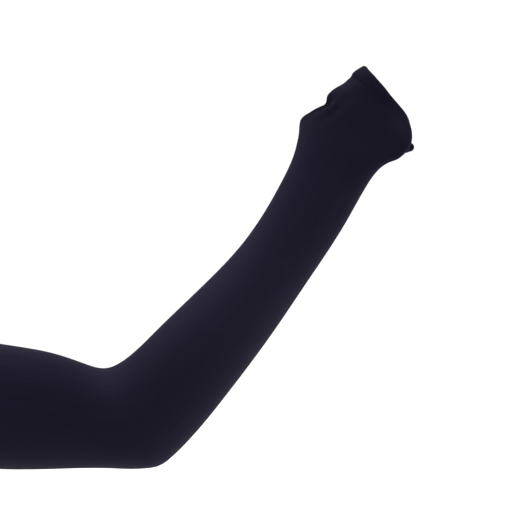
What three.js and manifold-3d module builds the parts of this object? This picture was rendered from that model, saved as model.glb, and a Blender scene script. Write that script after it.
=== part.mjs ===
// Sun protection arm sleeve for the right arm, with a thumb hole, kept in its worn, bent form.
// Millimetres, +Z up. The origin is the centre of the upper arm opening, the upper arm runs along +X,
// and the forearm rises to the hand. -Y faces the viewer and the back of the hand, +Y is the palm side.

import * as THREE from 'three';
import { mergeVertices } from 'three/addons/utils/BufferGeometryUtils.js';
import Module from 'manifold-3d';

// Cloth
const WALL = 1.0; // one layer of stretch knit, with its loft
const GAP = 0.3; // clearance where a hem meets the sleeve edge to edge
const UNDER_GAP = 0.5; // clearance where a hem's raw edge lies under the sleeve
const HEM_PROUD = 0.3; // how far a doubled hem stands out of the sleeve's surface
const HEM_INSIDE = 2 * WALL + UNDER_GAP; // how far its turned-in layer reaches below that surface
const TONGUE = 3.5; // raw edge of a hem, tucked under the sleeve and sewn down
const UPPER_HEM_WIDTH = 35.5;
const FINGER_HEM_WIDTH = 10;
const THUMB_HEM_WIDTH = 4;

// Facets
const SIDES = 40; // round the tube
const ARM_STEP = 11; // along the arm
const HAND_STEP = 5.5; // along the hand, from the wrist on
const HOLE_STEPS = 44; // round the thumb hole
const FOLD_STEPS = 4; // round the folded edge of a hem

// Sections along the arm: centre, lean of the section about Y and its twist about the arm in degrees, width
// across the view, half depths in front of and behind the centre, and squareness (2 is an ellipse)
const SECTION_COLUMNS = ['x', 'y', 'z', 'lean', 'twist', 'width', 'front', 'back', 'square'];
const SECTIONS = {
  opening: [0, 0, 0, 0, 0, 97, 44, 44, 2.15],
  hemLine: [35.5, 0, 0.1, 0, 0, 98, 44, 44, 2.15],
  upperArm: [63, 0, -2.2, 0, 0, 95.9, 43, 43, 2.15],
  aboveElbow: [98, 0, -4.9, 4.5, 0, 89.9, 41, 41, 2.15],
  innerElbow: [131, 0, -8.9, 16, 0, 84.4, 39, 39, 2.1],
  elbow: [157.3, 0, -9.7, 26.5, 0, 84.6, 38, 38, 2.1],
  belowElbow: [178.2, 3, 3.8, 31.5, 0, 81.3, 38, 38, 2.05],
  forearmTop: [203, 8, 30.3, 41, 0, 75.1, 36.5, 36.5, 2],
  forearmMiddle: [238.8, 16, 70.7, 48.5, 0, 66, 32, 32, 2],
  forearmLow: [269.2, 25, 108.4, 53, 2, 58.9, 26.5, 26.5, 2],
  wrist: [300, 33, 156.3, 56.5, 7, 60.2, 22, 22, 2.1],
  heelOfHand: [313.6, 38, 183, 65, 12, 63.5, 20.5, 22, 2.2],
  thumbBase: [323.5, 43, 201.5, 65, 17, 72.5, 19.5, 23, 2.3],
  palm: [339.5, 46, 214.5, 58, 21, 80, 18.8, 23, 2.4],
  grip: [352.5, 48, 223.5, 50.5, 23, 79, 18.2, 21.5, 2.4],
  knuckles: [359, 50, 240, 40.5, 22, 60, 17.5, 20, 2.3],
};

// The finger opening slants: it is cut shorter under the little finger than over the back of the hand
const RIM_DROP = 28;
const RIM_DROP_RUN = 55; // length over which the slant builds up
const RIM_DROP_POWER = 6.5; // how narrow its lowest stretch is
const RIM_DROP_TURN = 68; // its lowest point, in degrees from the middle of the palm to the little finger

const HAND_START = 410; // distance along the arm where the wrist widens into the hand

// Thumb hole: distance along the arm from its centre, and angle from the thumb side towards the palm
const HOLE_CENTRE = 449.5;
const HOLE_MIDDLE = 8; // angle of the hole's middle
const CUTTER_REACH = 6; // how far the plug that cuts the hole stands out of the cloth on both sides
const HOLE_OUTLINE = [
  { name: 'thumb root', along: -14.2, around: 0 },
  { name: 'root, back of hand', along: -5, around: -22 },
  { name: 'corner, back of hand', along: 2.8, around: -37 },
  { name: 'web, back of hand', along: 7.8, around: -26 },
  { name: 'web', along: 13.6, around: -4 },
  { name: 'web, palm', along: 13, around: 20 },
  { name: 'palm, upper', along: 5, around: 42 },
  { name: 'palm, lowest', along: -3, around: 52 },
  { name: 'palm, heel', along: -11, around: 42 },
  { name: 'root, palm', along: -15.5, around: 20 },
];

// Folds: place along the arm, angle round it, height (a crease is negative), half length, half width and
// turn of the long axis
const FOLD_RADIUS = 30; // turns the angle round the arm into a length
const FOLDS = [
  { name: 'flare at thumb root', along: 435, around: -3, height: 3.4, long: 8, wide: 9, turn: 0 },
  { name: 'pull from hole corner', along: 458, around: -48, height: -1.2, long: 14, wide: 4.5, turn: -35 },
  { name: 'ridge along the web', along: 464, around: -26, height: 2.2, long: 10, wide: 6, turn: 20 },
  { name: 'dip beside the finger hem', along: 471, around: 2, height: -2.2, long: 6, wide: 16, turn: 0 },
  { name: 'nick by the little finger', along: 484, around: 195, height: -5.8, long: 11, wide: 7, turn: 0 },
  { name: 'point of the elbow', along: 161, around: 180, height: 1.2, long: 8, wide: 20, turn: 0 },
  { name: 'heel of the little finger', along: 447, around: 189, height: 4.1, long: 21, wide: 11, turn: 0 },
  { name: 'knuckle of the little finger', along: 479, around: 225, height: 3.4, long: 12, wide: 9, turn: 0 },
  { name: 'hem over the first finger', along: 479, around: -19, height: 2, long: 7, wide: 8, turn: 0 },
];

const CLOTH_COLOUR = 0x1d1b26;
const HEM_COLOUR = 0x191721;
const THUMB_HEM_COLOUR = 0x15131c;
const CLOTH_ROUGHNESS = 0.85;

const radians = THREE.MathUtils.degToRad;

// Natural cubic spline through rows of numbers at rising stations
function spline(stations, rows) {
  const last = stations.length - 1;
  const bend = rows.map((row) => row.map(() => 0));
  const sweepOut = [0];
  for (let i = 1; i < last; i += 1) {
    const before = stations[i] - stations[i - 1];
    const after = stations[i + 1] - stations[i];
    const pivot = 2 * (before + after) - before * sweepOut[i - 1];
    sweepOut.push(after / pivot);
    bend[i] = rows[i].map((value, k) => {
      const turn = (rows[i + 1][k] - value) / after - (value - rows[i - 1][k]) / before;
      return (6 * turn - before * bend[i - 1][k]) / pivot;
    });
  }
  for (let i = last - 1; i > 0; i -= 1) {
    bend[i] = bend[i].map((value, k) => value - sweepOut[i] * bend[i + 1][k]);
  }
  return (station) => {
    const next = stations.findIndex((value, i) => i > 0 && (station < value || i === last));
    const span = stations[next] - stations[next - 1];
    const b = (station - stations[next - 1]) / span;
    const a = 1 - b;
    return rows[next].map((value, k) => {
      const curve = (a ** 3 - a) * bend[next - 1][k] + (b ** 3 - b) * bend[next][k];
      return a * rows[next - 1][k] + b * value + (curve * span * span) / 6;
    });
  };
}

const sectionRows = Object.values(SECTIONS);
const sectionCentres = sectionRows.map((row) => new THREE.Vector3(...row));
const sectionStations = [0];
for (let i = 1; i < sectionCentres.length; i += 1) {
  sectionStations.push(sectionStations[i - 1] + sectionCentres[i].distanceTo(sectionCentres[i - 1]));
}
const ARM_LENGTH = sectionStations.at(-1);
const sectionAt = spline(sectionStations, sectionRows);

// Height of all folds at a place along and round the arm
function foldHeight(along, angle) {
  let height = 0;
  for (const fold of FOLDS) {
    const u = along - fold.along;
    const swing = angle - radians(fold.around);
    const v = Math.atan2(Math.sin(swing), Math.cos(swing)) * FOLD_RADIUS;
    const turn = radians(fold.turn);
    const lengthways = (u * Math.cos(turn) + v * Math.sin(turn)) / fold.long;
    const sideways = (v * Math.cos(turn) - u * Math.sin(turn)) / fold.wide;
    height += fold.height * Math.exp(-(lengthways ** 2) - sideways ** 2);
  }
  return height;
}

// Point of the smooth outer form; angle 0 is the thumb side, a quarter turn the palm side
function formPoint(along, angle) {
  const built = THREE.MathUtils.smoothstep(along, ARM_LENGTH - RIM_DROP_RUN, ARM_LENGTH);
  const lowest = ((1 + Math.sin(angle - radians(RIM_DROP_TURN))) / 2) ** RIM_DROP_POWER;
  const values = sectionAt(along - built * RIM_DROP * lowest);
  const section = Object.fromEntries(SECTION_COLUMNS.map((column, k) => [column, values[k]]));
  const cos = Math.cos(angle);
  const sin = Math.sin(angle);
  const { square } = section;
  const reach = (Math.abs(cos) ** square + Math.abs(sin) ** square) ** (-1 / square);
  const across = (section.width / 2) * cos * reach;
  const through = (sin > 0 ? section.back : section.front) * sin * reach;
  const lean = radians(section.lean);
  const twist = radians(section.twist);
  const up = across * Math.cos(twist) - through * Math.sin(twist);
  const deep = across * Math.sin(twist) + through * Math.cos(twist);
  return new THREE.Vector3(
    section.x - Math.sin(lean) * up,
    section.y + deep,
    section.z + Math.cos(lean) * up,
  );
}

// Directions along the arm and round it, both per unit of their own measure, and the outward normal
function formDirections(along, angle) {
  const step = 0.5;
  const turn = 0.01;
  const lengthways = formPoint(along + step, angle)
    .sub(formPoint(along - step, angle))
    .divideScalar(2 * step);
  const round = formPoint(along, angle + turn)
    .sub(formPoint(along, angle - turn))
    .divideScalar(2 * turn);
  const outward = lengthways.clone().cross(round).normalize();
  return { lengthways, round, outward };
}

// Point of the cloth's surface, raised by the folds, at a height above or below it
function clothPoint(along, angle, height) {
  const { outward } = formDirections(along, angle);
  return formPoint(along, angle).addScaledVector(outward, height + foldHeight(along, angle));
}

// Closed body from rings of points that join up both ways
function ringBody(rings) {
  const count = rings[0].length;
  const index = [];
  rings.forEach((ring, i) => {
    const next = ((i + 1) % rings.length) * count;
    ring.forEach((point, j) => {
      const k = (j + 1) % count;
      index.push(i * count + j, next + k, next + j, i * count + j, i * count + k, next + k);
    });
  });
  return new THREE.BufferGeometry().setFromPoints(rings.flat()).setIndex(index);
}

// Profile of a doubled hem in (distance from its free edge, height): folded edge, outer face, step down to
// the tongue, then back along the turned-in face
function hemProfile(width) {
  const middle = (HEM_PROUD - HEM_INSIDE) / 2;
  const radius = (HEM_PROUD + HEM_INSIDE) / 2;
  const profile = [];
  for (let i = 0; i <= FOLD_STEPS; i += 1) {
    const turn = Math.PI * (i / FOLD_STEPS - 0.5);
    profile.push([radius - radius * Math.cos(turn), middle + radius * Math.sin(turn)]);
  }
  const underSleeve = -WALL - UNDER_GAP;
  profile.push([width, HEM_PROUD], [width, underSleeve]);
  profile.push([width + TONGUE, underSleeve], [width + TONGUE, -HEM_INSIDE]);
  return profile;
}

function evenStations(start, end, step) {
  const steps = Math.round((end - start) / step);
  return Array.from({ length: steps + 1 }, (_, i) => THREE.MathUtils.lerp(start, end, i / steps));
}

function roundTube(profile) {
  const rings = [];
  for (let i = 0; i < SIDES; i += 1) {
    const angle = (2 * Math.PI * i) / SIDES;
    rings.push(profile.map(([along, height]) => clothPoint(along, angle, height)));
  }
  return ringBody(rings);
}

function upperHem() {
  return roundTube(hemProfile(UPPER_HEM_WIDTH));
}

function fingerHem() {
  const fromRim = hemProfile(FINGER_HEM_WIDTH);
  return roundTube(fromRim.map(([distance, height]) => [ARM_LENGTH - distance, height]).reverse());
}

// Place on the hole's edge in (along, angle); the fraction runs once round the hole
const holeEdge = new THREE.CatmullRomCurve3(
  HOLE_OUTLINE.map(({ along, around }) => {
    return new THREE.Vector3(HOLE_CENTRE + along, radians(around) * FOLD_RADIUS, 0);
  }),
  true,
);

// Point beside the hole, at a distance from its edge measured over the cloth
function besideHole(fraction, distance, height) {
  const place = holeEdge.getPointAt(fraction);
  const ahead = holeEdge.getTangentAt(fraction);
  const angle = place.y / FOLD_RADIUS;
  const { lengthways, round, outward } = formDirections(place.x, angle);
  const edge = lengthways.clone().multiplyScalar(ahead.x).addScaledVector(round, ahead.y / FOLD_RADIUS);
  const away = outward.clone().cross(edge).normalize();
  const spread = lengthways.clone().cross(round).length();
  const alongStep = away.clone().cross(round).dot(outward) / spread;
  const angleStep = lengthways.clone().cross(away).dot(outward) / spread;
  return clothPoint(place.x - alongStep * distance, angle - angleStep * distance, height);
}

function roundHole(profile) {
  const rings = [];
  for (let i = 0; i < HOLE_STEPS; i += 1) {
    rings.push(profile.map(([distance, height]) => besideHole(i / HOLE_STEPS, distance, height)));
  }
  return ringBody(rings);
}

function thumbHem() {
  return roundHole(hemProfile(THUMB_HEM_WIDTH));
}

const wasm = await Module();
wasm.setup();

function toSolid(geometry) {
  const merged = mergeVertices(geometry);
  return new wasm.Manifold(new wasm.Mesh({
    numProp: 3,
    vertProperties: merged.attributes.position.array,
    triVerts: new Uint32Array(merged.index.array),
  }));
}

function toGeometry(solid) {
  const mesh = solid.getMesh();
  const geometry = new THREE.BufferGeometry();
  geometry.setAttribute('position', new THREE.BufferAttribute(new Float32Array(mesh.vertProperties), 3));
  return geometry.setIndex(new THREE.BufferAttribute(new Uint32Array(mesh.triVerts), 1));
}

// Plug through the wall, a little wider than the hole's hem, that cuts the opening for it
function holeCutter() {
  const reach = CUTTER_REACH;
  const side = THUMB_HEM_WIDTH + GAP;
  const index = [];
  const points = [];
  for (let i = 0; i < HOLE_STEPS; i += 1) {
    points.push(besideHole(i / HOLE_STEPS, side, reach), besideHole(i / HOLE_STEPS, side, -reach));
  }
  const middle = radians(HOLE_MIDDLE);
  const top = points.push(clothPoint(HOLE_CENTRE, middle, reach)) - 1;
  const bottom = points.push(clothPoint(HOLE_CENTRE, middle, -reach)) - 1;
  for (let i = 0; i < HOLE_STEPS; i += 1) {
    const here = 2 * i;
    const next = 2 * ((i + 1) % HOLE_STEPS);
    index.push(here, here + 1, next + 1, here, next + 1, next, top, here, next, bottom, next + 1, here + 1);
  }
  return new THREE.BufferGeometry().setFromPoints(points).setIndex(index);
}

// Seamless knitted tube from the upper hem to the finger hem, with the thumb hole cut out
function sleeveTube() {
  const start = UPPER_HEM_WIDTH + GAP;
  const end = ARM_LENGTH - FINGER_HEM_WIDTH - GAP;
  const arm = evenStations(start + TONGUE, HAND_START, ARM_STEP);
  const hand = evenStations(HAND_START, end - TONGUE, HAND_STEP);
  const stations = [start, ...arm, ...hand.slice(1), end];
  const outside = stations.map((along) => [along, 0]);
  const inside = stations.map((along) => [along, -WALL]).reverse();
  const tube = toSolid(roundTube([...outside, ...inside]));
  return toGeometry(tube.subtract(toSolid(holeCutter())));
}

function piece(name, geometry, color) {
  geometry.computeVertexNormals();
  const material = new THREE.MeshStandardMaterial({ color, roughness: CLOTH_ROUGHNESS, metalness: 0 });
  const mesh = new THREE.Mesh(geometry, material);
  mesh.name = name;
  return mesh;
}

const armSleeve = new THREE.Group();
armSleeve.add(piece('sleeve', sleeveTube(), CLOTH_COLOUR));
armSleeve.add(piece('upper_hem', upperHem(), HEM_COLOUR));
armSleeve.add(piece('finger_hem', fingerHem(), HEM_COLOUR));
armSleeve.add(piece('thumb_hem', thumbHem(), THUMB_HEM_COLOUR));

export default armSleeve;
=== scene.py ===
import math

import bmesh
import bpy
import numpy as np
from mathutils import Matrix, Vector
from mathutils.kdtree import KDTree


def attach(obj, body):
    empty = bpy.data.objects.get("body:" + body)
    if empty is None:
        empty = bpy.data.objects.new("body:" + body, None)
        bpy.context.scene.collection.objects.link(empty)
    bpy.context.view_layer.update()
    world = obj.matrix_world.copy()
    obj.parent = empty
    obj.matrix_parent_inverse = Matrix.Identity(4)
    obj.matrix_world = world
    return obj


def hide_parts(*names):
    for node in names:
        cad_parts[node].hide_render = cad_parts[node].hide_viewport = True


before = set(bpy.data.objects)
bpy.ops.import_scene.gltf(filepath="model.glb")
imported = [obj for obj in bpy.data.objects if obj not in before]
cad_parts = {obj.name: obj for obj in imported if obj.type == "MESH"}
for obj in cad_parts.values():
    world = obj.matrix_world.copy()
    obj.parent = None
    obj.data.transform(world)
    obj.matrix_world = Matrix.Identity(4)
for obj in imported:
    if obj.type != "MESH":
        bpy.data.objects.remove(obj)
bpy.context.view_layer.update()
print("frame loaded:", ", ".join(sorted(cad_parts)))

mm = 0.001  # the form below is in millimetres, Blender is in metres
fullTurn = 2 * math.pi

# Cross-sections of the worn sleeve, from the upper opening to the finger opening. The depths are those of
# its front, which faces -Y, and of its back. The last column is the power of the rounded outline.
armSections = {
    # x, y, z, lean, twist, width, front, back, square
    "opening": (0, 0, 0, 0, 0, 97, 44, 44, 2.15),
    "hemLine": (35.5, 0, 0.1, 0, 0, 98, 44, 44, 2.15),
    "upperArm": (63, 0, -2.2, 0, 0, 95.9, 43, 43, 2.15),
    "aboveElbow": (98, 0, -4.9, 4.5, 0, 89.9, 41, 41, 2.15),
    "innerElbow": (131, 0, -8.9, 16, 0, 84.4, 39, 39, 2.1),
    "elbow": (157.3, 0, -9.7, 26.5, 0, 84.6, 38, 38, 2.1),
    "belowElbow": (178.2, 3, 3.8, 31.5, 0, 81.3, 38, 38, 2.05),
    "forearmTop": (203, 8, 30.3, 41, 0, 75.1, 36.5, 36.5, 2),
    "forearmMiddle": (238.8, 16, 70.7, 48.5, 0, 66, 32, 32, 2),
    "forearmLow": (269.2, 25, 108.4, 53, 2, 58.9, 26.5, 26.5, 2),
    "wrist": (300, 33, 156.3, 56.5, 7, 60.2, 22, 22, 2.1),
    "heelOfHand": (313.6, 38, 183, 65, 12, 63.5, 20.5, 22, 2.2),
    "thumbBase": (323.5, 43, 201.5, 65, 17, 72.5, 19.5, 23, 2.3),
    "palm": (339.5, 46, 214.5, 58, 21, 80, 18.8, 23, 2.4),
    "grip": (352.5, 48, 223.5, 50.5, 23, 79, 18.2, 21.5, 2.4),
    "knuckles": (359, 50, 240, 40.5, 22, 60, 17.5, 20, 2.3),
}

# The finger opening slants: the sleeve is shortest nearly opposite the thumb hole
rimSlant = {
    "drop": 28,
    "run": 55,  # length over which the slant builds up
    "power": 6.5,  # how narrow its lowest stretch is
    "turn": 68,  # its lowest point, in degrees past the middle of the back
}

# Folds and creases: along, around (degrees), height, half length, half width, turn (degrees)
foldRadius = 30  # turns an angle round the sleeve into a length
clothFolds = [
    (435, -3, 3.4, 8, 9, 0),  # flare before the thumb hole
    (458, -48, -1.2, 14, 4.5, -35),  # pull from the corner of the thumb hole
    (464, -26, 2.2, 10, 6, 20),  # ridge between the thumb hole and the finger hem
    (471, 2, -2.2, 6, 16, 0),  # dip beside the finger hem
    (484, 195, -5.8, 11, 7, 0),  # nick beside the lowest point of the finger opening
    (161, 180, 1.2, 8, 20, 0),  # point of the elbow bend
    (447, 189, 4.1, 21, 11, 0),  # swell opposite the thumb hole
    (479, 225, 3.4, 12, 9, 0),  # swell of the front at the finger hem
    (479, -19, 2.0, 7, 8, 0),  # swell of the finger hem past the thumb hole
    (453, -51, -0.9, 6.5, 2.0, -83),  # crease from the corner of the thumb hole
    (448, -57, -0.7, 8, 4, 0),  # hollow under that crease
    (455, -50.5, 1.1, 8, 3.2, 8),  # lobe between the creases
    (452, -62, -0.5, 6, 2.4, 8),  # second crease
    (476.6, -38, -1.7, 11, 1.6, -86),  # groove where the finger hem starts
    (481, -44, 0.7, 7, 9, 0),  # hem standing up beside that groove
]


def smoothStep(value, start, end):
    t = np.clip((value - start) / (end - start), 0, 1)
    return t * t * (3 - 2 * t)


def naturalSpline(stations, rows):
    gap = np.diff(stations)
    last = len(stations) - 1
    matrix = np.eye(last + 1)
    right = np.zeros_like(rows)
    for i in range(1, last):
        matrix[i, i - 1:i + 2] = gap[i - 1], 2 * (gap[i - 1] + gap[i]), gap[i]
        right[i] = 6 * ((rows[i + 1] - rows[i]) / gap[i] - (rows[i] - rows[i - 1]) / gap[i - 1])
    bend = np.linalg.solve(matrix, right)

    def at(station):
        i = np.clip(np.searchsorted(stations, station, side="right") - 1, 0, last - 1)
        span = gap[i][..., None]
        b = (station - stations[i])[..., None] / span
        a = 1 - b
        curve = (a ** 3 - a) * bend[i] + (b ** 3 - b) * bend[i + 1]
        return a * rows[i] + b * rows[i + 1] + curve * span ** 2 / 6

    return at


sectionRows = np.array(list(armSections.values()), float)
sectionSteps = np.linalg.norm(np.diff(sectionRows[:, :3], axis=0), axis=1)
sectionStations = np.concatenate([[0], np.cumsum(sectionSteps)])
armLength = sectionStations[-1]
sectionAt = naturalSpline(sectionStations, sectionRows)


# Points of the smooth worn form; angle 0 is the thumb hole's side, a quarter turn the middle of the back
def formPoints(along, angle):
    along, angle = np.broadcast_arrays(np.asarray(along, float), np.asarray(angle, float))
    built = smoothStep(along, armLength - rimSlant["run"], armLength)
    lowest = ((1 + np.sin(angle - math.radians(rimSlant["turn"]))) / 2) ** rimSlant["power"]
    values = sectionAt(along - built * rimSlant["drop"] * lowest)
    x, y, z, lean, twist, width, front, back, square = np.moveaxis(values, -1, 0)
    cos, sin = np.cos(angle), np.sin(angle)
    reach = (np.abs(cos) ** square + np.abs(sin) ** square) ** (-1 / square)
    across = width / 2 * cos * reach
    through = np.where(sin > 0, back, front) * sin * reach
    lean, twist = np.radians(lean), np.radians(twist)
    up = across * np.cos(twist) - through * np.sin(twist)
    deep = across * np.sin(twist) + through * np.cos(twist)
    return np.stack([x - np.sin(lean) * up, y + deep, z + np.cos(lean) * up], -1)


def unit(vectors):
    return vectors / np.linalg.norm(vectors, axis=-1, keepdims=True)


# Directions along and round the sleeve, per millimetre and per radian, and the outward normal
def formDirections(along, angle):
    step, turn = 0.5, 0.01
    lengthways = (formPoints(along + step, angle) - formPoints(along - step, angle)) / (2 * step)
    around = (formPoints(along, angle + turn) - formPoints(along, angle - turn)) / (2 * turn)
    return lengthways, around, unit(np.cross(lengthways, around))


def foldHeights(along, angle):
    height = 0
    for foldAlong, foldAround, rise, long, wide, turn in clothFolds:
        u = along - foldAlong
        swing = angle - math.radians(foldAround)
        v = np.arctan2(np.sin(swing), np.cos(swing)) * foldRadius
        turn = math.radians(turn)
        lengthways = (u * math.cos(turn) + v * math.sin(turn)) / long
        sideways = (v * math.cos(turn) - u * math.sin(turn)) / wide
        height = height + rise * np.exp(-lengthways ** 2 - sideways ** 2)
    return height


def clothPoints(along, angle, height):
    outward = formDirections(along, angle)[2]
    lift = np.asarray(height + foldHeights(along, angle), float)
    return formPoints(along, angle) + outward * lift[..., None]


# Thumb hole: its middle along the sleeve, and its outline as (along from the middle, degrees round)
thumbHole = {
    "centre": 449.5,
    "outline": [
        (-14.2, 0), (-5.0, -22), (2.8, -37), (7.8, -26), (13.6, -4),
        (13, 20), (5, 42), (-3, 52), (-11, 42), (-15.5, 20),
    ],
    "curveSteps": 60,  # between two points of the outline
    "samples": 600,  # round the whole edge
    "before": 20,  # cloth from this far before the hole
    "beyond": 30,  # to this far beyond it is measured from its edge
    "farAway": 99.0,  # distance given to the rest
}


# Closed centripetal curve through the outline, in (along, around as a length), evenly sampled
def holeOutline():
    rows = np.array(thumbHole["outline"], float)
    knots = np.stack([thumbHole["centre"] + rows[:, 0], np.radians(rows[:, 1]) * foldRadius], -1)
    weight = np.linspace(0, 1, thumbHole["curveSteps"], endpoint=False)[:, None]
    pieces = []
    for i in range(len(knots)):
        p0, p1, p2, p3 = (knots[(i + k) % len(knots)] for k in (-1, 0, 1, 2))
        d0, d1, d2 = (np.linalg.norm(b - a) ** 0.5 for a, b in ((p0, p1), (p1, p2), (p2, p3)))
        leave = ((p1 - p0) / d0 - (p2 - p0) / (d0 + d1) + (p2 - p1) / d1) * d1
        arrive = ((p2 - p1) / d1 - (p3 - p1) / (d1 + d2) + (p3 - p2) / d2) * d1
        pieces.append(
            p1 + leave * weight + (3 * (p2 - p1) - 2 * leave - arrive) * weight ** 2
            + (2 * (p1 - p2) + leave + arrive) * weight ** 3
        )
    path = np.concatenate(pieces + [knots[:1]])
    length = np.concatenate([[0], np.cumsum(np.linalg.norm(np.diff(path, axis=0), axis=1))])
    even = np.linspace(0, length[-1], thumbHole["samples"] + 1)
    return np.stack([np.interp(even, length, path[:, k]) for k in (0, 1)], -1)[:-1]


holeEdge = holeOutline()


# Place (along, angle) beside the hole, at a distance from its edge measured over the cloth
def besideHole(fraction, distance):
    count = len(holeEdge)
    t = np.mod(fraction, 1) * count
    i = np.floor(t).astype(int) % count
    part = (t - np.floor(t))[..., None]
    place = holeEdge[i] * (1 - part) + holeEdge[(i + 1) % count] * part
    ahead = unit(holeEdge[(i + 2) % count] - holeEdge[i - 1])
    along, angle = place[..., 0], place[..., 1] / foldRadius
    lengthways, around, outward = formDirections(along, angle)
    edge = lengthways * ahead[..., :1] + around * ahead[..., 1:] / foldRadius
    away = unit(np.cross(edge, outward))
    spread = np.linalg.norm(np.cross(lengthways, around), axis=-1)
    alongStep = (np.cross(away, around) * outward).sum(-1) / spread
    angleStep = (np.cross(lengthways, away) * outward).sum(-1) / spread
    return along + alongStep * distance, angle + angleStep * distance


# Signed distance of cloth points from the hole's edge (inside is negative) and the nearest place on it
def distanceToHole(points, along, angle):
    edgePoints = clothPoints(holeEdge[:, 0], holeEdge[:, 1] / foldRadius, 0)
    tree = KDTree(len(edgePoints))
    for i, point in enumerate(edgePoints):
        tree.insert(point, i)
    tree.balance()
    distance = np.full(along.shape, thumbHole["farAway"])
    fraction = np.zeros(along.shape)
    wrapped = np.arctan2(np.sin(angle), np.cos(angle)) * foldRadius
    nextEdge = np.roll(holeEdge, -1, axis=0)
    low, high = holeEdge.min(0) - thumbHole["before"], holeEdge.max(0) + thumbHole["beyond"]
    near = (along > low[0]) & (along < high[0]) & (wrapped > low[1]) & (wrapped < high[1])
    for place in zip(*np.nonzero(near)):
        _, index, away = tree.find(points[place])
        u, v = along[place], wrapped[place]
        crosses = (holeEdge[:, 1] > v) != (nextEdge[:, 1] > v)
        rise = np.where(crosses, nextEdge[:, 1] - holeEdge[:, 1], 1)
        cut = holeEdge[:, 0] + (v - holeEdge[:, 1]) / rise * (nextEdge[:, 0] - holeEdge[:, 0])
        inside = np.count_nonzero(crosses & (u < cut)) % 2
        distance[place] = -away if inside else away
        fraction[place] = index / len(holeEdge)
    return distance, fraction


print("worn form: %.0f mm along the arm" % armLength)


def linkPiece(name, mesh, materials, node=None):
    piece = bpy.data.objects.new(name, mesh)
    bpy.context.scene.collection.objects.link(piece)
    for material in materials:
        mesh.materials.append(material)
    mesh.shade_smooth()
    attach(piece, "root")
    if node:
        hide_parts(node)
    return piece


# Mesh from a grid of points that closes round the sleeve or a hole. Knit holds the wale and course
# number at each grid line, the closing one included.
def gridMesh(name, points, knit, closeProfile=False, keep=None):
    rows, columns = points.shape[:2]
    i, j = np.meshgrid(np.arange(rows if closeProfile else rows - 1), np.arange(columns), indexing="ij")
    start, startNext = i * columns, (i + 1) % rows * columns
    jNext = (j + 1) % columns
    faces = np.stack([start + j, startNext + j, startNext + jNext, start + jNext], -1)
    coordinates = np.stack([knit[i, j], knit[i + 1, j], knit[i + 1, j + 1], knit[i, j + 1]], -2)
    keep = np.ones(i.shape, bool) if keep is None else keep
    faces, coordinates = faces[keep].reshape(-1, 4), coordinates[keep].reshape(-1, 2)
    used, renumbered = np.unique(faces, return_inverse=True)
    mesh = bpy.data.meshes.new(name)
    vertices = points.reshape(-1, 3)[used] * mm
    mesh.from_pydata(vertices.tolist(), [], renumbered.reshape(-1, 4).tolist())
    attribute = mesh.attributes.new("knit", "FLOAT_VECTOR", "CORNER")
    flat = np.zeros((len(coordinates), 3), np.float32)
    flat[:, :2] = coordinates
    attribute.data.foreach_set("vector", flat.ravel())
    return mesh, used


def addPointValues(mesh, name, values):
    attribute = mesh.attributes.new(name, "FLOAT", "POINT")
    attribute.data.foreach_set("value", np.asarray(values, np.float32))


# Node helpers: a value or a socket goes into each input
def plug(tree, socket, value):
    if isinstance(value, bpy.types.NodeSocket):
        tree.links.new(value, socket)
    elif value is not None:
        socket.default_value = value


def calc(tree, operation, *values):
    node = tree.nodes.new("ShaderNodeMath")
    node.operation = operation
    for socket, value in zip(node.inputs, values):
        plug(tree, socket, value)
    return node.outputs[0]


def noise(tree, vector, scale, detail):
    node = tree.nodes.new("ShaderNodeTexNoise")
    plug(tree, node.inputs["Vector"], vector)
    node.inputs["Scale"].default_value = scale
    node.inputs["Detail"].default_value = detail
    return node.outputs["Fac"]


def blendColours(tree, factor, first, second):
    node = tree.nodes.new("ShaderNodeMix")
    node.data_type = "RGBA"
    for name, value in (("Factor_Float", factor), ("A_Color", first), ("B_Color", second)):
        plug(tree, next(s for s in node.inputs if s.identifier == name), value)
    return next(s for s in node.outputs if s.identifier == "Result_Color")


def remap(tree, value, low, high, toLow, toHigh):
    node = tree.nodes.new("ShaderNodeMapRange")
    for socket, number in zip(node.inputs, (value, low, high, toLow, toHigh)):
        plug(tree, socket, number)
    return node.outputs[0]


def newMaterial(name):
    material = bpy.data.materials.new(name)
    material.use_nodes = True
    tree = material.node_tree
    return material, tree, tree.nodes["Principled BSDF"]


def attributeNode(tree, name):
    node = tree.nodes.new("ShaderNodeAttribute")
    node.attribute_name = name
    return node


knitLook = {
    # Slack cloth tones, also used for painted shade, and taut cloth tones, also used for painted light
    "relaxedDark": (0.0031, 0.0024, 0.0066, 1),
    "relaxedLight": (0.0047, 0.0037, 0.0097, 1),
    "stretchedDark": (0.0070, 0.0063, 0.0125, 1),
    "stretchedLight": (0.0102, 0.0093, 0.0183, 1),
    "worn": (0.0120, 0.0102, 0.0190, 1),
    "specular": 0.03,
    "specularTint": (0.68, 0.63, 1.0, 1),
    "sheen": 0.013,
    "sheenRoughness": 0.45,
    "sheenTint": (0.58, 0.51, 1.0, 1),
    "mottle": (21, 3),  # scale and detail of its noise
    "mottleRange": (0.3, 0.7),
    "needleShare": {1: 0.35, 3: 0.65},  # single wales and groups of three
    "needleStrength": (0.15, 0.7),  # where the mottle is dark and where it is light
    "yarn": (900, 2),
    "yarnShade": 0.6,
    "loopShade": 0.3,
    "roughnessFrom": (0.2, 0.8),
    "roughness": (0.74, 0.9),
    "fuzz": (2600, 1),
    "fuzzHeight": 0.35,
    "loopDepth": 0.00028,
    "bumpStrength": 0.30,
}

# Shape of the loops, as shares of a course and of the loops' height
jerseyLoop = {
    "rowBow": 0.22,
    "rowEven": 0.8,
    "rowSwell": 0.2,
    "legSlant": 1.3,
    "legEven": 0.35,
    "legSwell": 0.65,
}


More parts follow.
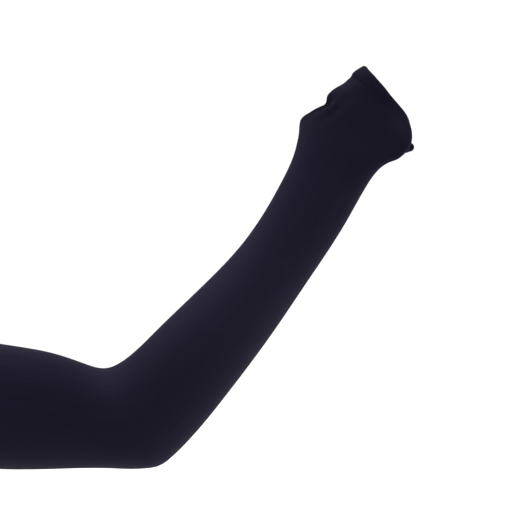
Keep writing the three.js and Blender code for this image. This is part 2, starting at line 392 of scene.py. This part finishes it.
# Height of jersey knit: right side in V-shaped legs, wrong side in rows of half loops
def loopHeight(tree, wale, course, wrongSide):
    if wrongSide:
        swing = calc(tree, "COSINE", calc(tree, "MULTIPLY", wale, fullTurn))
        arc = calc(tree, "MULTIPLY_ADD", swing, jerseyLoop["rowBow"], course)
        row = calc(tree, "ABSOLUTE", calc(tree, "SINE", calc(tree, "MULTIPLY", arc, math.pi)))
        swell = calc(tree, "MULTIPLY_ADD", swing, jerseyLoop["rowSwell"], jerseyLoop["rowEven"])
        return calc(tree, "MULTIPLY", row, swell)
    side = calc(tree, "ABSOLUTE", calc(tree, "SUBTRACT", calc(tree, "FRACT", wale), 0.5))
    across = calc(tree, "POWER", calc(tree, "MULTIPLY_ADD", side, 4, -1), 2)
    leg = calc(tree, "SUBTRACT", 1, across)
    slant = calc(tree, "MULTIPLY_ADD", side, jerseyLoop["legSlant"], course)
    loop = calc(tree, "ABSOLUTE", calc(tree, "SINE", calc(tree, "MULTIPLY", slant, math.pi)))
    swell = calc(tree, "MULTIPLY_ADD", loop, jerseyLoop["legSwell"], jerseyLoop["legEven"])
    return calc(tree, "MULTIPLY", leg, swell)


def toned(colour, tone):
    return tuple(channel * tone for channel in colour[:3]) + (1,)


def knitMaterial(name, look, tone, wrongSide=False):
    material, tree, shader = newMaterial(name)
    knit = tree.nodes.new("ShaderNodeSeparateXYZ")
    plug(tree, knit.inputs[0], attributeNode(tree, "knit").outputs["Vector"])
    wale, course = knit.outputs[0], knit.outputs[1]
    place = tree.nodes.new("ShaderNodeTexCoord").outputs["Object"]

    # Needle lines: single wales and small groups of them differ a little, stronger in some places
    mottle = noise(tree, place, *look["mottle"])
    needle = 0
    for group, share in look["needleShare"].items():
        random = tree.nodes.new("ShaderNodeTexWhiteNoise")
        random.noise_dimensions = "1D"
        plug(tree, random.inputs["W"], calc(tree, "FLOOR", calc(tree, "DIVIDE", wale, group)))
        needle = calc(tree, "MULTIPLY_ADD", random.outputs["Value"], share, needle)
    strength = remap(tree, mottle, *look["mottleRange"], *look["needleStrength"])
    needle = calc(tree, "MULTIPLY", calc(tree, "SUBTRACT", needle, 0.5), strength)

    yarn = calc(tree, "SUBTRACT", noise(tree, place, *look["yarn"]), 0.5)
    shade = calc(tree, "MULTIPLY_ADD", yarn, look["yarnShade"], calc(tree, "ADD", mottle, needle))
    height = loopHeight(tree, wale, course, wrongSide)
    # Painted shade: the knit is coloured darker in the low parts of its loops and paler on their tops
    shade = calc(tree, "SUBTRACT", shade, look["loopShade"] / 2)
    shade = calc(tree, "MULTIPLY_ADD", height, look["loopShade"], shade)
    # Slack and taut tones mixed by the stretch values, which also carry painted light and shade: paler
    # where light falls, darker where shade falls
    relaxed, stretched = (
        blendColours(tree, shade, toned(look[state + "Dark"], tone), toned(look[state + "Light"], tone))
        for state in ("relaxed", "stretched")
    )
    colour = blendColours(tree, attributeNode(tree, "stretchAndShading").outputs["Fac"], relaxed, stretched)
    wear = attributeNode(tree, "fold").outputs["Fac"]
    colour = blendColours(tree, wear, colour, toned(look["worn"], tone))
    plug(tree, shader.inputs["Base Color"], colour)
    rough = remap(tree, calc(tree, "ADD", mottle, yarn), *look["roughnessFrom"], *look["roughness"])
    plug(tree, shader.inputs["Roughness"], rough)

    fuzz = calc(tree, "MULTIPLY_ADD", noise(tree, place, *look["fuzz"]), look["fuzzHeight"], height)
    bump = tree.nodes.new("ShaderNodeBump")
    bump.inputs["Strength"].default_value = look["bumpStrength"]
    bump.inputs["Distance"].default_value = look["loopDepth"]
    plug(tree, bump.inputs["Height"], fuzz)
    plug(tree, shader.inputs["Normal"], bump.outputs["Normal"])
    shader.inputs["Specular IOR Level"].default_value = look["specular"]
    shader.inputs["Specular Tint"].default_value = look["specularTint"]
    shader.inputs["Sheen Weight"].default_value = look["sheen"]
    shader.inputs["Sheen Roughness"].default_value = look["sheenRoughness"]
    shader.inputs["Sheen Tint"].default_value = look["sheenTint"]
    return material


threadLook = {
    "dark": (0.0038, 0.0033, 0.0080, 1),
    "light": (0.0070, 0.0061, 0.0138, 1),
    "specular": 0.03,
    "specularTint": (0.68, 0.63, 1.0, 1),
    "twists": 1.6,  # turns of the ply for each millimetre
    "fleck": (400, 2),  # scale and detail of its noise
    "fleckShade": 0.5,
    "plyShade": 0.5,
    "roughness": (0.68, 0.5),  # between the plies and on them
    "plyDepth": 0.00008,
    "bumpStrength": 0.5,
}


def threadMaterial(name, look):
    material, tree, shader = newMaterial(name)
    knit = tree.nodes.new("ShaderNodeSeparateXYZ")
    plug(tree, knit.inputs[0], attributeNode(tree, "knit").outputs["Vector"])
    turn = calc(tree, "MULTIPLY_ADD", knit.outputs[1], look["twists"], knit.outputs[0])
    ply = calc(tree, "ABSOLUTE", calc(tree, "SINE", calc(tree, "MULTIPLY", turn, fullTurn)))
    place = tree.nodes.new("ShaderNodeTexCoord").outputs["Object"]
    # Painted shade: the thread is coloured darker in the grooves between its plies and paler on them
    shade = calc(tree, "MULTIPLY", ply, look["plyShade"])
    shade = calc(tree, "MULTIPLY_ADD", noise(tree, place, *look["fleck"]), look["fleckShade"], shade)
    plug(tree, shader.inputs["Base Color"], blendColours(tree, shade, look["dark"], look["light"]))
    plug(tree, shader.inputs["Roughness"], remap(tree, ply, 0, 1, *look["roughness"]))
    bump = tree.nodes.new("ShaderNodeBump")
    bump.inputs["Strength"].default_value = look["bumpStrength"]
    bump.inputs["Distance"].default_value = look["plyDepth"]
    plug(tree, bump.inputs["Height"], ply)
    plug(tree, shader.inputs["Normal"], bump.outputs["Normal"])
    shader.inputs["Specular IOR Level"].default_value = look["specular"]
    shader.inputs["Specular Tint"].default_value = look["specularTint"]
    return material


# How pale each cloth is, beside the colours above; the thumb hem's cloth is made darker, as painted shade
# along the thumb hole's edge
clothTones = {"face": 1.0, "reverse": 1.15, "hem": 0.96, "edge": 0.8}
knitFace = knitMaterial("knitFace", knitLook, clothTones["face"])
knitReverse = knitMaterial("knitReverse", knitLook, clothTones["reverse"], wrongSide=True)
hemKnit = knitMaterial("hemKnit", knitLook, clothTones["hem"])
# Painted shade: the thumb hem's cloth is darker along the thumb hole
shadedEdgeKnit = knitMaterial("shadedEdgeKnit", knitLook, clothTones["edge"])
sewingThread = threadMaterial("sewingThread", threadLook)
print("materials made")

# Layers of a hem, as heights over the worn form in mm: it folds at its free edge, and the edge of the
# sleeve is held in the slot between its two layers
hemLayers = {
    "outerTop": 0.05,
    "outerUnder": -0.35,
    "innerTop": -1.13,
    "innerUnder": -1.78,
    "innerRise": 0.4,  # the raw edge of the inner layer comes up to the sleeve
    "riseRun": 1.6,
    "faceMargin": 0.1,  # the inner face counts up to this far above the inner layer's middle
}
# The sleeve dips where it goes into a slot: less sharply round the thumb hole
sleeveTuck = {"depth": 0.39, "start": -0.5, "end": 0.5, "holeStart": -0.4, "holeEnd": 1.3}

# Hems: the slot's depth, how far the inner layer goes on past the outer one, the stitch rows' distances
# from the free edge, the length of a stitch and the mesh columns in it, and the wales round the hem
upperHem = {
    "width": 35.5,
    "slot": 8.0,
    "innerExtra": 3.0,
    "rows": (33.0, 30.4),
    "pitch": 2.6,
    "perStitch": 5,
    "wales": 360,
}
fingerHem = {
    "width": 10.0,
    "slot": 5.2,
    "innerExtra": 2.5,
    "rows": (8.2, 5.9),
    "pitch": 2.4,
    "perStitch": 5,
    "wales": 360,
}
thumbHem = {
    "width": 4.0,
    "slot": 2.2,
    "innerExtra": 1.6,
    "rows": (2.7,),
    "pitch": 2.2,
    "perStitch": 6,
    "wales": 150,
}

sleeve = {
    "around": 224,
    "armStep": 4.0,
    "handStep": 0.95,
    "handStart": 405,
    "besideHem": (-5.0, -2.6, -1.1, -0.6, -0.3, 0, 0.3, 0.6, 1.1, 1.8, 2.7),  # rows close to a hem's line
    "hemClear": 4,  # the even rows start this far from it
    "thickness": 0.7,
    "wales": 360,
    "coursePitch": 0.62,
    "holeEdge": 2.3,  # the cut edge lies this far behind the hole's rim, inside its hem
    "holeReach": 12,  # cut points further from the hole belong to the ends of the tube
}

# How far the cloth is drawn thin, from 0 to 1, which makes it paler; the same values also carry painted
# light and shade. Most below the elbow bend, more at single points where it is tight and where painted
# light falls, and less where it is slack and where painted shade falls
clothStretchAndShading = {
    "along": [
        (0, 0.53), (140, 0.5), (200, 0.64), (285, 1.0), (340, 0.86),
        (400, 0.6), (430, 0.36), (450, 0.16), (488, 0.12),
    ],
    "points": {
        # along, around (degrees), reach, stretch with painted light and shade
        "elbow": (163, 180, 26, 0.29),
        "crook": (154, -25, 22, 0.3),
        "littleKnuckle": (476, 228, 13, 0.75),
        "littleHeel": (445, 228, 18, 0.4),
        "web": (467, -29, 7.5, 0.8),
        "holeCorner": (454, -48, 12, -0.2),
        "thumbRoot": (443, -22, 13, -0.2),
    },
}


def stretchAndShadingAt(along, angle):
    stretchAndShading = np.interp(along, *zip(*clothStretchAndShading["along"]))
    for pointAlong, pointAround, reach, amount in clothStretchAndShading["points"].values():
        swing = angle - math.radians(pointAround)
        sideways = np.arctan2(np.sin(swing), np.cos(swing)) * foldRadius
        stretchAndShading = stretchAndShading + amount * np.exp(-((along - pointAlong) ** 2 + sideways ** 2) / reach ** 2)
    return np.clip(stretchAndShading, 0, 1)


def sleeveStations():
    edge = np.array(sleeve["besideHem"])
    start, end = upperHem["width"], armLength - fingerHem["width"]
    middle, clear = sleeve["handStart"], sleeve["hemClear"]
    armCount = round((middle - start) / sleeve["armStep"])
    handCount = round((end - middle) / sleeve["handStep"])
    arm = np.linspace(start + clear, middle, armCount, endpoint=False)
    hand = np.linspace(middle, end - clear, handCount)
    return np.concatenate([start + edge, arm, hand, (end - edge)[::-1]])


def makeSleeve():
    along = sleeveStations()
    angle = np.linspace(0, fullTurn, sleeve["around"], endpoint=False)
    along, angle = (a.copy() for a in np.broadcast_arrays(along[:, None], angle[None]))
    points = clothPoints(along, angle, 0)
    holeDistance, holeFraction = distanceToHole(points, along, angle)

    # Cut the hole: drop the faces inside it and draw the cut edge on to one line
    centre = (holeDistance + np.roll(holeDistance, -1, 1)) / 2
    keep = (centre[:-1] + centre[1:]) / 2 > sleeve["holeEdge"]
    touch = np.zeros(along.shape, int)
    for down in (0, 1):
        for across in (0, 1):
            kept = np.roll(keep, across, 1)
            touch[down:len(touch) - 1 + down] += kept
    rim = (touch > 0) & (touch < 4) & (holeDistance < sleeve["holeReach"])
    along[rim], angle[rim] = besideHole(holeFraction[rim], sleeve["holeEdge"])
    holeDistance[rim] = sleeve["holeEdge"]

    fromHem = np.minimum(along - upperHem["width"], armLength - fingerHem["width"] - along)
    clear = smoothStep(fromHem, sleeveTuck["start"], sleeveTuck["end"])
    clear *= smoothStep(holeDistance - thumbHem["width"], sleeveTuck["holeStart"], sleeveTuck["holeEnd"])
    points = clothPoints(along, angle, sleeveTuck["depth"] * (clear - 1))

    # Wales share the girth of each section evenly, courses follow the length
    step = np.linalg.norm(np.roll(points, -1, 1) - points, axis=-1)
    girth = np.concatenate([np.zeros((len(step), 1)), np.cumsum(step, axis=1)], axis=1)
    knit = np.empty(girth.shape + (2,))
    knit[..., 0] = girth / girth[:, -1:] * sleeve["wales"]
    knit[..., 1] = np.concatenate([along, along[:, :1]], axis=1) / sleeve["coursePitch"]

    mesh, used = gridMesh("sleeveKnit", points, knit, keep=keep)
    # Stretch values, which also carry painted light and shade
    addPointValues(mesh, "stretchAndShading", stretchAndShadingAt(along, angle).ravel()[used])
    piece = linkPiece("sleeveKnit", mesh, (knitFace, knitReverse), "sleeve")
    wall = piece.modifiers.new("wall", "SOLIDIFY")
    wall.thickness = sleeve["thickness"] * mm
    wall.offset = -1
    wall.material_offset = 1
    return piece


# Points on a hem's profile: how many round each rolled edge, and their spacing in mm on each flat stretch
profileSteps = {
    "foldArc": 13,
    "outerArc": 9,
    "innerArc": 7,
    "plain": 2.2,
    "outerSewn": 0.3,
    "innerSewn": 0.5,
    "slotOuter": 2.5,
    "slotInner": 0.8,
    "sewnMargin": 2.5,  # the fine spacing starts this far before the stitches
}


# Profile of a hem, closed, as rows of (distance from its free edge, height)
def hemProfile(hem):
    top, under = hemLayers["outerTop"], hemLayers["outerUnder"]
    innerTop, innerUnder = hemLayers["innerTop"], hemLayers["innerUnder"]
    width, slot, inner = hem["width"], hem["slot"], hem["width"] + hem["innerExtra"]
    radius, middle = (top - innerUnder) / 2, (top + innerUnder) / 2
    points = []

    def arc(centre, size, start, end, count):
        for t in np.linspace(start, end, count):
            points.append((centre[0] + size * math.cos(t), centre[1] + size * math.sin(t)))

    def run(start, end, height, step):
        for d in np.linspace(start, end, max(2, round(abs(end - start) / step) + 1))[1:-1]:
            points.append((d, height))

    outerEnd, innerEnd = (top - under) / 2, (innerTop - innerUnder) / 2
    quarter = math.pi / 2
    steps = profileSteps
    plainEnd = max(radius, min(hem["rows"]) - steps["sewnMargin"])
    arc((radius, middle), radius, 3 * quarter, quarter, steps["foldArc"])
    run(radius, plainEnd, top, steps["plain"])
    run(plainEnd, width - outerEnd, top, steps["outerSewn"])
    arc((width - outerEnd, (top + under) / 2), outerEnd, quarter, -quarter, steps["outerArc"])
    run(width - outerEnd, width - slot, under, steps["slotOuter"])
    points += [(width - slot, under), (width - slot, innerTop)]
    run(width - slot, inner - innerEnd, innerTop, steps["slotInner"])
    arc((inner - innerEnd, (innerTop + innerUnder) / 2), innerEnd, quarter, -quarter, steps["innerArc"])
    run(inner - innerEnd, plainEnd, innerUnder, steps["innerSewn"])
    run(plainEnd, radius, innerUnder, steps["plain"])
    profile = np.array(points)
    raised = hemLayers["innerRise"] * smoothStep(profile[:, 0], width, width + hemLayers["riseRun"])
    profile[:, 1] += np.where(profile[:, 1] < (under + innerTop) / 2, raised, 0)
    return profile


# Places on a hem as (along, angle), from the fraction round it and the distance from its free edge
def upperPlace(fraction, distance):
    return np.broadcast_arrays(distance, fraction * fullTurn)


def fingerPlace(fraction, distance):
    return np.broadcast_arrays(armLength - distance, fraction * fullTurn)


def thumbPlace(fraction, distance):
    return besideHole(*np.broadcast_arrays(fraction, distance))


hemSamples = 2401  # points for measuring the way round a hem


# Fractions round a hem that are evenly spaced over the cloth, and the hem's length
def evenFractions(place, distance, count):
    fine = np.linspace(0, 1, hemSamples)
    path = clothPoints(*place(fine, np.full(fine.shape, distance)), 0)
    length = np.concatenate([[0], np.cumsum(np.linalg.norm(np.diff(path, axis=0), axis=1))])
    return np.interp(np.linspace(0, length[-1], count + 1), length, fine), length[-1]


sewing = {
    "radius": 0.13,  # of the thread
    "pucker": 0.09,
    "puckerWidth": 0.6,
    "puckerEven": 0.55,  # share of the pucker all along a row
    "puckerNeedle": 0.45,  # share where the needle goes through
    "innerPucker": 0.6,  # share that shows on the inner face
}


# How the stitches draw the outer face in, deepest where the needle goes through
def puckerAt(hem, distance, stitchCount):
    dip = 0
    for row in hem["rows"]:
        beside = np.exp(-((distance - row) / sewing["puckerWidth"]) ** 2)
        needle = sewing["puckerNeedle"] * np.cos(fullTurn * stitchCount)
        dip = dip + beside * (sewing["puckerEven"] + needle)
    return -sewing["pucker"] * dip


# Slight unevenness of a hem's free edge, and the wear on its fold
freeEdge = {
    "wave": 0.18,
    "waves": [(3, 1.0, 0.6), (7, 0.7, 2.1), (13, 0.5, 0.0)],  # waves round the hem, share, phase
    "waveReach": 3.0,
    "wear": 0.5,
    "wearReach": 0.9,
}


def edgeWave(fraction):
    turn = fraction * fullTurn
    waves = sum(share * np.sin(count * turn + phase) for count, share, phase in freeEdge["waves"])
    return freeEdge["wave"] * waves


def stitchesRound(hem, place):
    length = evenFractions(place, hem["rows"][0], 1)[1]
    return round(length / hem["pitch"])


def makeHem(name, hem, place, node, material):
    profile = hemProfile(hem)
    stitches = stitchesRound(hem, place)
    columns = stitches * hem["perStitch"]
    fractions = evenFractions(place, hem["rows"][0], columns)[0][:-1]
    distance, fraction = np.broadcast_arrays(profile[:, :1], fractions[None])
    number = np.arange(columns)[None] / hem["perStitch"]
    height = np.repeat(profile[:, 1:], columns, axis=1)
    outerFace = height > (hemLayers["outerTop"] + hemLayers["outerUnder"]) / 2
    innerFace = height < (hemLayers["innerTop"] + hemLayers["innerUnder"]) / 2 + hemLayers["faceMargin"]
    pucker = puckerAt(hem, distance, number)
    innerPucker = np.where(innerFace, -sewing["innerPucker"] * pucker, 0)
    height = height + np.where(outerFace, pucker, innerPucker)
    wave = edgeWave(fraction) * np.exp(-distance / freeEdge["waveReach"])
    along, angle = place(fraction, distance + wave)
    points = clothPoints(along, angle, height)

    length = np.linalg.norm(np.diff(profile, axis=0, append=profile[:1]), axis=1)
    knit = np.empty((len(profile) + 1, columns + 1, 2))
    knit[..., 0] = np.linspace(0, hem["wales"], columns + 1)[None]
    knit[..., 1] = np.concatenate([[0], np.cumsum(length)])[:, None] / sleeve["coursePitch"]
    mesh, used = gridMesh(name, points, knit, closeProfile=True)
    worn = freeEdge["wear"] * np.exp(-(distance / freeEdge["wearReach"]) ** 2)
    addPointValues(mesh, "fold", worn.ravel()[used])
    # Stretch values, which also carry painted light and shade
    addPointValues(mesh, "stretchAndShading", stretchAndShadingAt(along, angle).ravel()[used])
    shape = bmesh.new()
    shape.from_mesh(mesh)
    bmesh.ops.recalc_face_normals(shape, faces=shape.faces)
    shape.to_mesh(mesh)
    shape.free()
    return linkPiece(name, mesh, (material,), node)


threadShape = {
    "endSize": 0.55,  # a thread narrows to this where it goes into the cloth
    "closingLength": 1,  # length counted from the last point of a closed thread to its first
}


# Round threads along paths; each path is an array of points with the normals of the cloth under them
def makeThreads(name, paths, closed, sides):
    turn = np.linspace(0, fullTurn, sides, endpoint=False)
    vertices, faces, knitRows = [], [], []
    start = 0
    for path, normals in paths:
        ahead = (np.roll(path, -1, 0) - np.roll(path, 1, 0)) if closed else np.gradient(path, axis=0)
        ahead = unit(ahead)
        side = unit(np.cross(ahead, normals))
        up = np.cross(side, ahead)
        ring = side[:, None] * np.cos(turn)[None, :, None] + up[:, None] * np.sin(turn)[None, :, None]
        taper = np.ones(len(path))
        if not closed:
            taper[[0, -1]] = threadShape["endSize"]
        tube = path[:, None] + ring * sewing["radius"] * taper[:, None, None]
        rows = len(path)
        length = np.concatenate([[0], np.cumsum(np.linalg.norm(np.diff(path, axis=0), axis=1))])
        vertices.append(tube.reshape(-1, 3))
        for i in range(rows if closed else rows - 1):
            n = (i + 1) % rows
            here = length[i]
            there = length[n] if n else here + threadShape["closingLength"]
            for k in range(sides):
                m = (k + 1) % sides
                faces.append([start + a * sides + b for a, b in ((i, k), (i, m), (n, m), (n, k))])
                one, other = k / sides, (k + 1) / sides
                knitRows += [(one, here, 0), (other, here, 0), (other, there, 0), (one, there, 0)]
        if not closed:
            faces.append([start + k for k in reversed(range(sides))])
            faces.append([start + (rows - 1) * sides + k for k in range(sides)])
            knitRows += [(0, 0, 0)] * sides + [(0, length[-1], 0)] * sides
        start += rows * sides
    mesh = bpy.data.meshes.new(name)
    mesh.from_pydata((np.concatenate(vertices) * mm).tolist(), [], faces)
    attribute = mesh.attributes.new("knit", "FLOAT_VECTOR", "CORNER")
    attribute.data.foreach_set("vector", np.array(knitRows, np.float32).ravel())
    return linkPiece(name, mesh, (sewingThread,))


topStitch = {
    "start": 0.05,  # shares of the way from one needle hole to the next
    "end": 0.95,
    "points": 8,
    "sides": 7,
    "arch": 1.9,  # in radii of the thread
    "archPower": 0.6,
    "sink": 1.2,
}


# Top stitches: a short length of thread from each needle hole to the next
def makeTopStitches(name, hem, place):
    stitches = stitchesRound(hem, place)
    fractions = evenFractions(place, hem["rows"][0], stitches)[0]
    t = np.linspace(topStitch["start"], topStitch["end"], topStitch["points"])
    arch = np.sin(math.pi * np.linspace(0, 1, topStitch["points"])) ** topStitch["archPower"]
    lift = sewing["radius"] * (topStitch["arch"] * arch - topStitch["sink"])
    paths = []
    for row in hem["rows"]:
        for i in range(stitches):
            fraction = fractions[i] + (fractions[i + 1] - fractions[i]) * t
            distance = np.full(t.shape, row)
            height = hemLayers["outerTop"] + puckerAt(hem, distance, i + t) + lift
            along, angle = place(fraction, distance)
            path = clothPoints(along, angle, height)
            paths.append((path, formDirections(along, angle)[2]))
    return makeThreads(name, paths, False, topStitch["sides"])


looper = {
    "points": 8,  # for each stitch
    "sides": 6,
    "halfWidth": 0.9,  # under a single row of stitches
    "turnPower": 0.7,  # how square its turns are
    "clear": 0.5,  # its middle lies this far out of the cloth, in radii of the thread
}


# Looper thread on the wrong side, which runs to and fro under the stitches
def makeLooper(name, hem, place):
    stitches = stitchesRound(hem, place)
    rows = hem["rows"]
    fractions = evenFractions(place, rows[0], stitches)[0]
    if len(rows) == 1:
        rows = (rows[0] + looper["halfWidth"], rows[0] - looper["halfWidth"])
    count = np.arange(stitches * looper["points"])
    number = count / looper["points"]
    fraction = np.interp(number, np.arange(stitches + 1), fractions)
    swing = np.sin(fullTurn * count / looper["points"])
    swing = np.sign(swing) * np.abs(swing) ** looper["turnPower"]
    distance = (rows[0] + rows[1]) / 2 + (rows[0] - rows[1]) / 2 * swing
    pucker = sewing["innerPucker"] * puckerAt(hem, distance, number)
    height = hemLayers["innerUnder"] - pucker - looper["clear"] * sewing["radius"]
    along, angle = place(fraction, distance)
    path = clothPoints(along, angle, height)
    normals = -formDirections(along, angle)[2]
    return makeThreads(name, [(path, normals)], True, looper["sides"])


sleeveKnit = makeSleeve()
print("sleeve knitted:", len(sleeveKnit.data.polygons), "faces")

hemKinds = {
    "upper": (upperHem, upperPlace, "hem", "upper_hem", hemKnit),
    "finger": (fingerHem, fingerPlace, "hem", "finger_hem", hemKnit),
    "thumb": (thumbHem, thumbPlace, "edge", "thumb_hem", shadedEdgeKnit),
}
for kind, (hem, place, slot, node, material) in hemKinds.items():
    makeHem(kind + "HemBand", hem, place, node, material)
    makeTopStitches(kind + "HemStitches", hem, place)
    makeLooper(kind + "HemLooper", hem, place)
    print(kind, "hem sewn with", stitchesRound(hem, place), "stitches round it")

# Studio: pale floor that curves up into a backdrop
studio = {
    "floor": -0.42,
    "width": 7.0,
    "near": -3.5,
    "bend": 2.4,  # where the floor starts to curve up
    "radius": 1.2,
    "bendPoints": 17,
    "height": 3.2,
    "paperDark": (0.85, 0.85, 0.85, 1),
    "paperLight": (0.88, 0.88, 0.88, 1),
    "grain": (6, 4),  # scale and detail of its noise
    "roughness": 0.9,
    "specular": 0.1,
}


def makeStudio():
    profile = [(studio["near"], studio["floor"])]
    for t in np.linspace(0, math.pi / 2, studio["bendPoints"]):
        profile.append((
            studio["bend"] + studio["radius"] * math.sin(t),
            studio["floor"] + studio["radius"] * (1 - math.cos(t)),
        ))
    profile.append((profile[-1][0], studio["height"]))
    half = studio["width"] / 2
    vertices = [(x, y, z) for y, z in profile for x in (-half, half)]
    faces = [(2 * i, 2 * i + 1, 2 * i + 3, 2 * i + 2) for i in range(len(profile) - 1)]
    mesh = bpy.data.meshes.new("studioFloor")
    mesh.from_pydata(vertices, [], faces)
    mesh.shade_smooth()
    material, tree, shader = newMaterial("studioPaper")
    place = tree.nodes.new("ShaderNodeTexCoord").outputs["Object"]
    grain = noise(tree, place, *studio["grain"])
    paper = blendColours(tree, grain, studio["paperDark"], studio["paperLight"])
    plug(tree, shader.inputs["Base Color"], paper)
    shader.inputs["Roughness"].default_value = studio["roughness"]
    shader.inputs["Specular IOR Level"].default_value = studio["specular"]
    mesh.materials.append(material)
    floor = bpy.data.objects.new("studioFloor", mesh)
    bpy.context.scene.collection.objects.link(floor)


makeStudio()

lights = {
    # place, size, power
    "topLeft": ((-0.55, 0.35, 1.45), 1.3, 40),
    "frontFill": ((0.6, -1.7, 0.7), 1.6, 6),
    "rightRim": ((1.5, 0.6, 0.4), 0.9, 15),
}
lightTarget = Vector((0.24, 0.0, 0.10))
for name, (spot, size, power) in lights.items():
    lamp = bpy.data.lights.new(name, "AREA")
    lamp.shape = "SQUARE"
    lamp.size = size
    lamp.energy = power
    light = bpy.data.objects.new(name, lamp)
    light.location = spot
    light.rotation_euler = (lightTarget - Vector(spot)).to_track_quat("-Z", "Y").to_euler()
    bpy.context.scene.collection.objects.link(light)

roomLight = {"colour": (1, 1, 1, 1), "strength": 1.1}
world = bpy.data.worlds.new("whiteStudio")
world.use_nodes = True
background = world.node_tree.nodes["Background"]
background.inputs["Color"].default_value = roomLight["colour"]
background.inputs["Strength"].default_value = roomLight["strength"]
bpy.context.scene.world = world
bpy.context.scene.view_settings.view_transform = "Standard"

# Camera of the photograph: the aim and the distance in metres, the lens in pixels of the image's width
photoView = {
    "aim": (0.2591, 0.0, 0.1183),
    "distance": 1.2,
    "elevation": 6.0,
    "focalPixels": 1560,
    "imageWidth": 525,
    "sensor": 36,  # mm
}


def makeCamera():
    data = bpy.data.cameras.new("photoCamera")
    data.sensor_fit = "HORIZONTAL"
    data.sensor_width = photoView["sensor"]
    data.lens = data.sensor_width * photoView["focalPixels"] / photoView["imageWidth"]
    camera = bpy.data.objects.new("photoCamera", data)
    tilt = math.radians(photoView["elevation"])
    back = Vector((0, -math.cos(tilt), math.sin(tilt)))
    camera.location = Vector(photoView["aim"]) + photoView["distance"] * back
    camera.rotation_euler = (math.pi / 2 - tilt, 0, 0)
    bpy.context.scene.collection.objects.link(camera)
    bpy.context.scene.camera = camera


makeCamera()
print("studio, lights and camera set")
